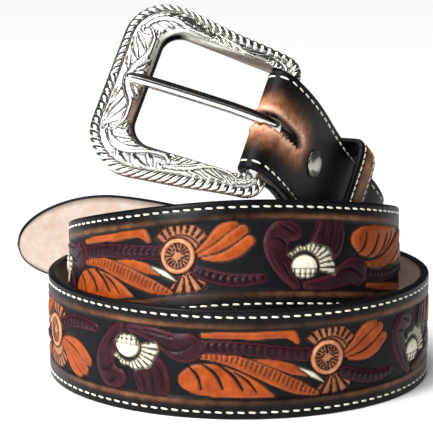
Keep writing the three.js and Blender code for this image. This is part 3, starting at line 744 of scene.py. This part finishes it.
def turned(name, profile, back, solid):
    """A lathe body on the strap's face: rows of radius and height from the strap's middle, carried round
    the snap's axis, which stands a distance back from the bar."""
    middle, way, width, face = (f[0] for f in coil_frames(np.array([LENGTH - back])))
    radius, height = np.array(profile, float).T
    turn = np.arange(64) / 64 * 2 * np.pi
    ring = radius[:, None, None] * (np.cos(turn)[:, None] * width + np.sin(turn)[:, None] * way)
    points = middle + ring + height[:, None, None] * face
    vertices, faces = tube(in_place(points))
    link(name, vertices, faces, "strap", [solid])


# The snaps' sections, cap with post and back ring, as radius and height from the strap's middle
FLAP_BACK = -THICK / 2 - (THICK + 2 * GAP)
SNAP_CAP = (
    (0.6, FLAP_BACK - 0.9), (2.0, FLAP_BACK - 0.9), (2.0, 1.4), (4.75, 1.5), (5.0, 1.72), (4.98, 1.98),
    (4.7, 2.24), (4.35, 2.3), (4.1, 2.42), (3.6, 2.78), (2.7, 3.1), (1.6, 3.3), (0.3, 3.38),
)
SNAP_RING = (
    (2.3, FLAP_BACK), (4.4, FLAP_BACK), (4.4, FLAP_BACK - 0.7), (3.9, FLAP_BACK - 1.2),
    (2.9, FLAP_BACK - 1.25), (2.35, FLAP_BACK - 0.9),
)


# Buckle: a cast band, widening to the toe, between two rounded outlines

OUTER = dict(heel=-5.5, toe=57.6, heel_half=27.6, toe_half=35.5, heel_corner=7.0, toe_corner=16.0)
INNER = dict(heel=2.4, toe=43.0, heel_half=20.1, toe_half=21.5, heel_corner=0.0, toe_corner=7.0)
HEEL_INSIDE = 20.6  # half the distance between the arms at the bar
SAG = dict(start=14 / 96, run=20 / 96)  # where the band begins to sag, as shares of its half's length
ROPE = dict(lobes=64, width=3.5, lift=0.5, slant=0.6)
PRONG = np.array([  # distance from the bar, height over it, share of the full radius
    (-2.0, 3.0, 0.7), (0, 3.6, 0.86), (3.5, 4.3, 1), (12, 4.9, 1), (26, 5.5, 1), (40, 5.75, 1),
    (46.5, 5.6, 0.98), (49.5, 5.4, 0.86), (50.7, 5.3, 0.62), (51.2, 5.25, 0.25),
])
PRONG_RADIUS = 2.05
PRONG_LEAN = dict(start=14.0, slope=-0.042)  # towards the lower arm, from this distance on
PRONG_LINE = dict(at=-0.35, half=0.75, fade=0.4, dark=0.95)  # dark line along it, in radians round it
PRONG_RING = dict(section=1.2, half_length=2.1)


def half_outline(edge, count):
    """From the end of the upper arm to the middle of the toe, as points an equal length apart: an arc or a
    corner at the heel, the sloping arm, the toe's arc, and straight down to the middle."""
    slope = math.atan2(edge["toe_half"] - edge["heel_half"], edge["toe"] - edge["heel"])
    parts = [np.array([(edge["heel"], HEEL_INSIDE)])]
    if edge["heel_corner"]:
        q = np.linspace(math.pi, math.pi / 2 + slope, 60)
        high = edge["heel_half"] - HEEL_INSIDE
        arc_u = edge["heel"] + edge["heel_corner"] + high * np.cos(q)
        parts.append(np.stack([arc_u, HEEL_INSIDE + high * np.sin(q)], -1))
    else:
        parts.append(np.array([(edge["heel"] + 1, edge["heel_half"])]))
    r = edge["toe_corner"]
    centre = edge["toe_half"] - r * math.tan(slope) - r / math.cos(slope)
    q = np.linspace(math.pi / 2 + slope, 0, 80)
    parts.append(np.stack([edge["toe"] - r + r * np.cos(q), centre + r * np.sin(q)], -1))
    parts.append(np.array([(edge["toe"], 0.0)]))
    path = np.concatenate(parts)
    run = np.r_[0, np.cumsum(np.linalg.norm(np.diff(path, axis=0), axis=1))]
    at = np.linspace(0, run[-1], count)
    return np.stack([np.interp(at, run, path[:, 0]), np.interp(at, run, path[:, 1])], -1), run[-1]


# Scrollwork on the buckle, on a tile that repeats along the band and is mirrored at the toe's middle: a
# stem that ends in a curl, and leaves off it. x runs along the band in millimetres, then the share of the
# field's width and half the rib's width.
SCROLL_PITCH = 30.0
FIELD_NOMINAL = 6.6  # width of the field that the scrolls are laid out on
SCROLLS = (
    ((6.0, 0.42, 0.35), (9.6, 0.76, 0.95), (14.6, 0.96, 0.45)),
    ((1.6, 0.40, 0.35), (4.2, 0.72, 0.95), (8.4, 0.96, 0.45)),
    ((-2.4, 0.46, 0.35), (-0.6, 0.74, 0.9), (2.8, 0.97, 0.4)),
    ((12.0, 0.40, 0.35), (15.6, 0.20, 0.9), (20.6, 0.07, 0.4)),
    ((6.4, 0.24, 0.3), (9.6, 0.12, 0.7), (13.2, 0.05, 0.35)),
    ((17.4, 0.54, 0.35), (20.4, 0.34, 0.8), (22.8, 0.12, 0.4)),
    ((20.6, 0.95, 0.35), (25.2, 0.88, 0.8), (29.6, 0.66, 0.4)),
    (
        (-3.0, 0.22, 0.5), (4.0, 0.28, 0.8), (10.0, 0.46, 0.95), (16.0, 0.70, 0.95), (22.0, 0.74, 0.9),
        (26.8, 0.56, 0.8), (28.0, 0.32, 0.7), (26.2, 0.16, 0.6), (24.2, 0.26, 0.5), (24.8, 0.42, 0.4),
    ),
)


def scrollwork(along, share):
    """Height and darkness of the scrolls on the band's field: ribs domed by 1 - exp(signed / 0.4), each
    with a fine groove, and dark plating in the lines round them."""
    x, y = along % SCROLL_PITCH, share * FIELD_NOMINAL
    height, dark = np.zeros(x.shape), np.full(x.shape, 0.3)
    for line in SCROLLS:
        for shift in (-SCROLL_PITCH, 0, SCROLL_PITCH):
            rows = [(a + shift, b * FIELD_NOMINAL, c) for a, b, c in line]
            where, signed, _, side = followed(x, y, rows, 0.8)
            inside = smooth(0.5 - signed / 0.4)
            dome = 0.12 + 0.5 * (1 - np.exp(np.minimum(signed, 0) / 0.4))
            vein = np.exp(-(((side - 0.2) / 0.14) ** 2)) * smooth((-signed - 0.3) / 0.2)
            rim = np.exp(-((signed / 0.18) ** 2))
            height[where] = height[where] * (1 - inside) + inside * dome - 0.12 * vein - 0.2 * rim
            dark[where] = np.maximum(dark[where] * (1 - inside), np.maximum(0.95 * rim, 0.4 * vein))
    return height, dark


def buckle_band():
    """The cast band. Each section runs from the back's outer edge, round the rope (half a round whose
    height pulses along it as |sin|^0.6 on a slant), over a valley and the domed field with its scrolls,
    down the inner bevel and back underneath. Away from the arms' ends the outer edge sags by up to 1.9 mm,
    the field less and less across its width, and the inner edge rises by 0.2 mm."""
    count = 560
    outer, length = half_outline(OUTER, count)
    inner, _ = half_outline(INNER, count)
    i = np.r_[np.arange(count), np.arange(count - 2, -1, -1)]
    side = np.where(np.arange(len(i)) < count, 1.0, -1.0)
    out, across = outer[i], inner[i] - outer[i]
    width = np.linalg.norm(across, axis=1)
    across /= width[:, None]
    along = np.arange(len(i)) / (len(i) - 1) * 2 * length
    fade = smooth(np.minimum(i, 20) / 20)[:, None]

    rope = ROPE["width"]
    q = np.linspace(0, 1, 15)
    arc = np.pi * q
    field = np.linspace(0, 1, 34)[1:]
    off_rope = np.zeros(len(field) + 2)
    field_height = 0.9 + 2.2 * np.sin(np.pi / 2 * np.clip(field / 0.68, 0, 1)) ** 0.9
    bevel_height = 3.1 - 3.5 * (np.maximum(field - 0.72, 0) / 0.28) ** 1.6
    field_height = np.where(field > 0.72, bevel_height, field_height)
    field_sag = np.interp(field, (0, 0.22, 0.48, 0.7), (1.2, 0.7, 0.1, -0.2))
    inset = np.r_[0.5, 0.06, rope / 2 * (1 - np.cos(arc)) * 0.94, np.full(len(field), rope), rope, rope]
    share = np.r_[0, 0, np.zeros(len(arc)), field, 0.99, 0.95]
    height = np.r_[-2.4, -1.5, -0.3 + 1.5 * np.sin(arc) ** 0.8 + 1.1 * q, field_height, -1.6, -2.4]
    sag = np.r_[1.9, 1.9, 1.9 - 0.7 * q, field_sag, -0.2, -0.2]
    sag = sag * smooth((i[:, None] / (count - 1) - SAG["start"]) / SAG["run"])
    on_rope = np.r_[0, 0.25, np.sin(arc) ** 0.6, off_rope]
    round_rope = np.r_[0, 0, (q - 0.5) * 2, off_rope]
    outwards = -np.r_[0, 1, np.cos(arc), off_rope]
    on_field = smooth((field - 0.03) / 0.1) * smooth((0.8 - field) / 0.1)
    on_field = np.r_[np.zeros(2 + len(arc)), on_field, 0, 0]
    turns = ROPE["lobes"] * along[:, None] / (2 * length) + ROPE["slant"] * round_rope * side[:, None]
    lobe = np.abs(np.sin(np.pi * turns)) ** 0.6
    from_toe = np.abs(along - length)[:, None] + 3.0
    relief, stain = scrollwork(from_toe + 0 * share, share[None] + 0 * along[:, None])
    n = height - sag + on_rope * ROPE["lift"] * (lobe - 0.75) * 2 * fade + on_field * relief * 1.3 * fade
    reach = inset + share * (width[:, None] - rope) + 0.35 * on_rope * (lobe - 1) * fade * outwards
    u = out[:, :1] + across[:, :1] * reach
    v = side[:, None] * (out[:, 1:] + across[:, 1:] * reach)

    dark = np.maximum(on_rope * (1 - smooth((lobe - 0.42) / 0.35)), on_field * stain)
    valley = np.r_[0, 0, smooth((q - 0.86) / 0.14), np.exp(-((field / 0.07) ** 2)), 0, 0]
    bevel = np.r_[np.zeros(2 + len(q)), smooth((field - 0.84) / 0.1), 1, 1]
    at_toe = smooth((u[:, -1:] - 0.8 * INNER["toe"]) / (0.15 * INNER["toe"]))
    dark = np.maximum(dark, np.maximum(0.5 * valley, bevel * (0.45 + 0.5 * at_toe)))
    dark[:, -2:] = 0.5
    vertices, faces = tube(in_place(in_buckle(u, v, n)))
    link(
        "buckle_casting", vertices, faces, "buckle", ["buckle_frame"],
        attributes={"tarnish": np.r_[dark.ravel(), 0.3, 0.3]},
    )


def buckle_bar():
    """The bar between the arms, a plain cylinder with bevelled ends inside them."""
    v = np.array((-1, -0.999, 0.999, 1)) * (HEEL_INSIDE + 1.2)
    turn = np.arange(40) / 40 * 2 * np.pi
    radius = np.array((1.4, BAR_RADIUS, BAR_RADIUS, 1.4))[:, None]
    u, n = radius * np.cos(turn), radius * np.sin(turn)
    vertices, faces = tube(in_place(in_buckle(u, v[:, None] + 0 * u, n)))
    tarnish = np.full(len(vertices), 0.35)
    link("buckle_bar", vertices, faces, "buckle", attributes={"tarnish": tarnish})


def prong_rod():
    """The prong's rod: circles square to its line, whose height and size come from the table by spline.
    Past its bend it leans towards the lower arm by a slope, and a dark line runs along its upper side."""
    t = np.linspace(0, 1, 90)
    at = PRONG[0, 0] + (PRONG[-1, 0] - PRONG[0, 0]) * (1 - (1 - t) ** 1.25)
    line = spline(PRONG[:, 0], PRONG[:, 1:], at)
    size = np.interp(at, PRONG[:, 0], PRONG[:, 2])
    tilt = np.arctan(np.gradient(line[:, 0], at))[:, None]
    turn = np.arange(32) / 32 * 2 * np.pi
    radius = PRONG_RADIUS * size[:, None]
    up = radius * np.cos(turn)
    lean = PRONG_LEAN["slope"] * np.maximum(at - PRONG_LEAN["start"], 0)[:, None]
    across = lean - radius * np.sin(turn)
    points = in_buckle(at[:, None] - np.sin(tilt) * up, across, line[:, :1] + np.cos(tilt) * up)
    vertices, faces = tube(in_place(points))
    away = np.abs((turn - PRONG_LINE["at"] + np.pi) % (2 * np.pi) - np.pi)
    dark = PRONG_LINE["dark"] * smooth((PRONG_LINE["half"] - away) / PRONG_LINE["fade"]) + 0 * radius
    link(
        "prong_rod", vertices, faces, "prong", ["buckle_prong"],
        attributes={"tarnish": np.r_[dark.ravel(), 0, 0]},
    )


def prong_ring():
    """The prong's ring on the bar: a rounded oblong section, cos^0.6 by
    sin^0.6, turned round the bar's axis."""
    q = np.arange(24) / 24 * 2 * np.pi
    bow = lambda value: np.sign(value) * np.abs(value) ** 0.6
    section = PRONG_RING["section"]
    radial = BAR_RADIUS + GAP + section + section * bow(np.cos(q))
    v = PRONG_RING["half_length"] * bow(np.sin(q))
    turn = (np.arange(64) / 64 * 2 * np.pi)[:, None]
    points = in_place(in_buckle(radial * np.cos(turn), v + 0 * turn, radial * np.sin(turn))).reshape(-1, 3)
    faces = grid_faces(64, 24, wrap=True, around=True).tolist()
    tarnish = np.full(len(points), 0.2)
    link("prong_ring", points, faces, "prong", attributes={"tarnish": tarnish})


tooled_length("strap_outer_turn", TOOLED_FROM, OUTER_TURN_TO, ["strap"])
tooled_length("strap_inner_turns", OUTER_TURN_TO, LENGTH - TOOLED_TO)
holes = HOLES["first"] + HOLES["pitch"] * np.arange(HOLES["count"])
plain_length("strap_tip", 0.0, TOOLED_FROM, [
    (hole - HOLES["radius"], hole + HOLES["radius"], HOLES["radius"]) for hole in holes
])
plain_length("strap_fold", LENGTH - TOOLED_TO, WHOLE, [
    (LENGTH - SLOT["reach"], LENGTH + FOLD_LENGTH + SLOT["reach"], SLOT["half"]),
], SLOT["pucker"])
for index, row in enumerate(strap_rows()):
    stitches(f"strap_seam_{index + 1}", strap_point, row, STITCH)
keeper()
keeper_stitches()
buckle_band()
buckle_bar()
prong_rod()
prong_ring()
for index, back in enumerate(SNAPS):
    turned(f"snap_cap_{index + 1}", SNAP_CAP, back, f"snap_{index + 1}_cap")
    turned(f"snap_ring_{index + 1}", SNAP_RING, back, f"snap_{index + 1}_back")

# Materials

def linear(colour):
    """An sRGB hex value as linear red, green, blue and alpha."""
    part = np.array([int(colour[i:i + 2], 16) for i in (1, 3, 5)]) / 255
    return (*np.where(part <= 0.04045, part / 12.92, ((part + 0.055) / 1.055) ** 2.4), 1.0)


def node(tree, kind, links=None, **settings):
    """Adds a node. settings are its own properties; links are its sockets by name or number, each fed by
    another node's output or given a plain value."""
    made = tree.nodes.new(kind)
    for key, value in settings.items():
        setattr(made, key, value)
    for key, value in (links or {}).items():
        socket = made.inputs[key]
        if isinstance(value, bpy.types.NodeSocket):
            tree.links.new(value, socket)
        elif isinstance(value, str):
            socket.default_value = linear(value)
        else:
            socket.default_value = value
    return made


def material(name, **sockets):
    """An empty procedural material: its tree and its shader, with the given
    plain values on the shader's sockets."""
    made = bpy.data.materials.new(name)
    made.use_nodes = True
    tree = made.node_tree
    tree.nodes.clear()
    plain = {key.replace("_", " "): value for key, value in sockets.items()}
    shader = node(tree, "ShaderNodeBsdfPrincipled", plain)
    out = node(tree, "ShaderNodeOutputMaterial")
    tree.links.new(shader.outputs[0], out.inputs[0])
    return made, tree, shader


def coated(tree, colour, *coats):
    """A colour under coats, each a (share, colour) pair: share * coat
    + (1 - share) * what lies under it."""
    for share, coat in coats:
        colour = node(tree, "ShaderNodeMix", {0: share, 6: colour, 7: coat}, data_type="RGBA").outputs[2]
    return colour


# The dye and rim colours in the order of the dye attribute: beside a cut, then a thin and a full coat on
# the crown. Beside a cut the orange and plum rows are lighter, partly wiped-off dye and partly a painted
# highlight; the cream and tan rows are darker antiquing.
DYES_AND_RIM_HIGHLIGHTS = (
    ("#a85c36", "#7d3010", "#a94e1b"), ("#52202d", "#200b12", "#34171f"), ("#8d8470", "#cfc6ae", "#ece6d4"),
    ("#4f2414", "#a15d3b", "#d89a72"),
)


def leather():
    """Vegetable-tanned harness leather, tooled, dyed by brush, antiqued and waxed. The eye sees black rims
    with soft gloss, a dull matted ground, colour that varies in patches and turns at the edge of each
    raised shape, black cuts, reddish rims on the plum and orange shapes that are partly dye wiped off and
    partly a painted highlight, and a pale, dull flesh side."""
    made, tree, shader = material(
        "tooled_harness_leather", Coat_Weight=0.03, Coat_Roughness=0.22, Specular_IOR_Level=0.09,
    )
    where = node(tree, "ShaderNodeTexCoord").outputs["Object"]
    dye, marks, inner = (
        node(tree, "ShaderNodeAttribute", attribute_name=name).outputs for name in ("dye", "marks", "inner")
    )
    share, mark, side = (
        node(tree, "ShaderNodeSeparateColor", {0: four["Color"]}).outputs for four in (dye, marks, inner)
    )
    # dye takes unevenly over patches about 5 mm across, and grain and matting show as pebbles under 1 mm
    cloud = node(
        tree, "ShaderNodeTexNoise", {"Vector": where, "Scale": 200.0, "Detail": 4.0, "Roughness": 0.65},
    )
    patch = node(tree, "ShaderNodeMapRange", {0: cloud.outputs["Fac"], 1: 0.32, 2: 0.68}).outputs[0]
    grain = node(tree, "ShaderNodeTexVoronoi", {"Vector": where, "Scale": 1100.0}, feature="SMOOTH_F1")
    matting = node(tree, "ShaderNodeTexVoronoi", {"Vector": where, "Scale": 1400.0}).outputs["Distance"]
    # the crown of a raised shape keeps its dye; beside its cut the orange and plum shapes are lighter,
    # partly dye wiped off and partly a painted highlight, and the cream and tan shapes are darker where
    # antiquing stayed
    crown = node(tree, "ShaderNodeMapRange", {0: mark["Green"], 1: 0.15, 2: 0.62}).outputs[0]
    colour = coated(tree, "#070708", (patch, "#121214"), (mark["Blue"], "#0d0e12"))
    amounts = share["Red"], share["Green"], share["Blue"], dye["Alpha"]
    for amount, (edge, thin, full) in zip(amounts, DYES_AND_RIM_HIGHLIGHTS):
        shape = coated(tree, edge, (crown, coated(tree, thin, (patch, full))))
        colour = coated(tree, colour, (amount, shape))
    # over the dyes: burnish, the slot's raw lips, cuts, the flesh side, and the inked edge
    colour = coated(
        tree, colour, (side["Green"], coated(tree, "#7c4326", (patch, "#d8966d"))),
        (side["Blue"], coated(tree, "#dd9c7c", (patch, "#ffd6c0"))), (mark["Red"], "#080708"),
        (side["Red"], coated(tree, "#f4d3be", (patch, "#fff1e6"))), (marks["Alpha"], "#0b0b0d"),
    )
    tree.links.new(colour, shader.inputs["Base Color"])
    rough = node(tree, "ShaderNodeMapRange", {0: patch, 3: 0.34, 4: 0.48}).outputs[0]
    for dull, amount in ((mark["Blue"], 0.16), (side["Red"], 0.4)):
        duller = node(tree, "ShaderNodeMath", {0: dull, 1: amount, 2: rough}, operation="MULTIPLY_ADD")
        rough = duller.outputs[0]
    tree.links.new(rough, shader.inputs["Roughness"])
    ground = node(tree, "ShaderNodeMath", {0: mark["Blue"], 1: matting}, operation="MULTIPLY").outputs[0]
    height = node(
        tree, "ShaderNodeMath", {0: ground, 1: 1.8, 2: grain.outputs["Distance"]}, operation="MULTIPLY_ADD",
    ).outputs[0]
    bump = node(tree, "ShaderNodeBump", {"Strength": 0.4, "Distance": 0.00014, "Height": height})
    tree.links.new(bump.outputs[0], shader.inputs["Normal"])
    return made


def thread():
    """Waxed linen thread, cream: a matt strand with a faint twist and a
    little dye on it from the leather."""
    made, tree, shader = material("waxed_linen_thread", Roughness=0.55, Sheen_Weight=0.15)
    where = node(tree, "ShaderNodeTexCoord").outputs["Object"]
    soil = node(tree, "ShaderNodeTexNoise", {"Vector": where, "Scale": 330.0}).outputs["Fac"]
    colour = coated(tree, "#fbf6ea", (soil, "#d9cdb6"))
    tree.links.new(colour, shader.inputs["Base Color"])
    twist = node(tree, "ShaderNodeTexWave", {"Vector": where, "Scale": 700.0}).outputs["Fac"]
    bump = node(tree, "ShaderNodeBump", {"Strength": 0.4, "Distance": 0.0001, "Height": twist})
    tree.links.new(bump.outputs[0], shader.inputs["Normal"])
    return made


def nickel():
    """Nickel-plated pressed steel, handled: bright but cloudy, with fine rubs."""
    made, tree, shader = material("nickel_plated_steel", Metallic=1.0)
    where = node(tree, "ShaderNodeTexCoord").outputs["Object"]
    rub = node(tree, "ShaderNodeTexNoise", {"Vector": where, "Scale": 900.0, "Detail": 4.0}).outputs["Fac"]
    tree.links.new(coated(tree, "#8f8b84", (rub, "#c9c5be")), shader.inputs["Base Color"])
    rough = node(tree, "ShaderNodeMapRange", {0: rub, 1: 0.3, 2: 0.7, 3: 0.22, 4: 0.4}).outputs[0]
    tree.links.new(rough, shader.inputs["Roughness"])
    return made


def silver(name, bright, grey, stain, rough):
    """Silver-plated cast zinc, antiqued: black oxide stays in the recesses of the rope and the scrolls,
    and the high spots are buffed bright."""
    made, tree, shader = material(name, Metallic=1.0)
    where = node(tree, "ShaderNodeTexCoord").outputs["Object"]
    tarnish = node(tree, "ShaderNodeAttribute", attribute_name="tarnish").outputs["Fac"]
    cloud = node(tree, "ShaderNodeTexNoise", {"Vector": where, "Scale": 500.0, "Detail": 4.0})
    cloud = cloud.outputs["Fac"]
    edge = node(tree, "ShaderNodeMapRange", {0: tarnish, 1: 0.25, 2: 0.85}).outputs[0]
    colour = coated(tree, grey, (cloud, bright), (edge, stain))
    tree.links.new(colour, shader.inputs["Base Color"])
    dull = node(tree, "ShaderNodeMapRange", {0: edge, 1: 0.0, 2: 1.0, 3: rough, 4: rough + 0.3}).outputs[0]
    tree.links.new(dull, shader.inputs["Roughness"])
    bump = node(tree, "ShaderNodeBump", {"Strength": 0.12, "Distance": 0.0001, "Height": cloud})
    tree.links.new(bump.outputs[0], shader.inputs["Normal"])
    return made


antiqued = silver("antiqued_silver_plate", bright="#f2efe8", grey="#bdb8b0", stain="#0b0908", rough=0.2)
buffed = silver("buffed_silver_rod", bright="#e9e6df", grey="#cbc6bd", stain="#2a2420", rough=0.14)
for finish, names in (
    (leather(), ("strap_outer_turn", "strap_inner_turns", "strap_tip", "strap_fold", "keeper_band")),
    (thread(), ("strap_seam_1", "strap_seam_2", "keeper_seam_1", "keeper_seam_2")),
    (antiqued, ("buckle_casting", "buckle_bar")),
    (buffed, ("prong_rod", "prong_ring")),
    (nickel(), ("snap_cap_1", "snap_ring_1", "snap_cap_2", "snap_ring_2")),
):
    for name in names:
        bpy.data.objects[name].data.materials.append(finish)

# Studio

CAMERA = np.array((0.0, -656.2, 178.3))  # in the coil's millimetres
PITCH_DOWN, YAW = math.radians(10.48), math.radians(0.70)
SENSOR = 36.0
LENS = 1800 / 433 * SENSOR  # as long as 1800 pixels of a picture 433 across


def aim(thing, place, towards):
    """Stands a lamp or camera at a place, looking along a direction."""
    thing.location = place
    thing.rotation_mode = "QUATERNION"
    thing.rotation_quaternion = Vector(towards).to_track_quat("-Z", "Y")


def softbox(name, place, target, size, power):
    """A rectangular area lamp, in metres and watts."""
    lamp = bpy.data.lights.new(name, "AREA")
    lamp.shape, lamp.size, lamp.size_y = "RECTANGLE", size[0], size[1]
    lamp.energy = power
    made = bpy.data.objects.new(name, lamp)
    bpy.context.collection.objects.link(made)
    aim(made, place, np.array(target) - np.array(place))


view = bpy.data.cameras.new("camera")
view.lens, view.sensor_width = LENS, SENSOR
view.clip_start, view.clip_end = 0.05, 20
camera = bpy.data.objects.new("camera", view)
bpy.context.collection.objects.link(camera)
aim(camera, in_place(CAMERA), (
    -math.sin(YAW), math.cos(YAW) * math.cos(PITCH_DOWN), -math.sin(PITCH_DOWN),
))
bpy.context.scene.camera = camera

floor_mesh = bpy.data.meshes.new("floor")
far = 6
floor_mesh.from_pydata([(-far, -far, 0), (far, -far, 0), (far, far, 0), (-far, far, 0)], [], [(0, 1, 2, 3)])
floor = bpy.data.objects.new("floor", floor_mesh)
bpy.context.collection.objects.link(floor)
paper, _, _ = material("white_paper", Base_Color=linear("#fbfbfb"), Roughness=0.9)
floor_mesh.materials.append(paper)

sun = bpy.data.lights.new("overhead", "SUN")
sun.energy, sun.angle = 3.15, math.radians(50)
overhead = bpy.data.objects.new("overhead", sun)
bpy.context.collection.objects.link(overhead)
aim(overhead, (0, 0, 1), (0.3, 0.1, -1))
softbox("key", place=(-0.55, -0.62, 0.42), target=(0, 0, 0.05), size=(0.3, 0.3), power=9.0)
softbox("strip", place=(-0.1, -0.8, 0.75), target=(0, 0, 0.06), size=(0.5, 0.15), power=1.5)

world = bpy.data.worlds.new("studio")
world.use_nodes = True
bpy.context.scene.world = world
background = world.node_tree.nodes["Background"]
background.inputs["Color"].default_value = linear("#ffffff")
background.inputs["Strength"].default_value = 0.06
bpy.context.scene.view_settings.view_transform = "Standard"
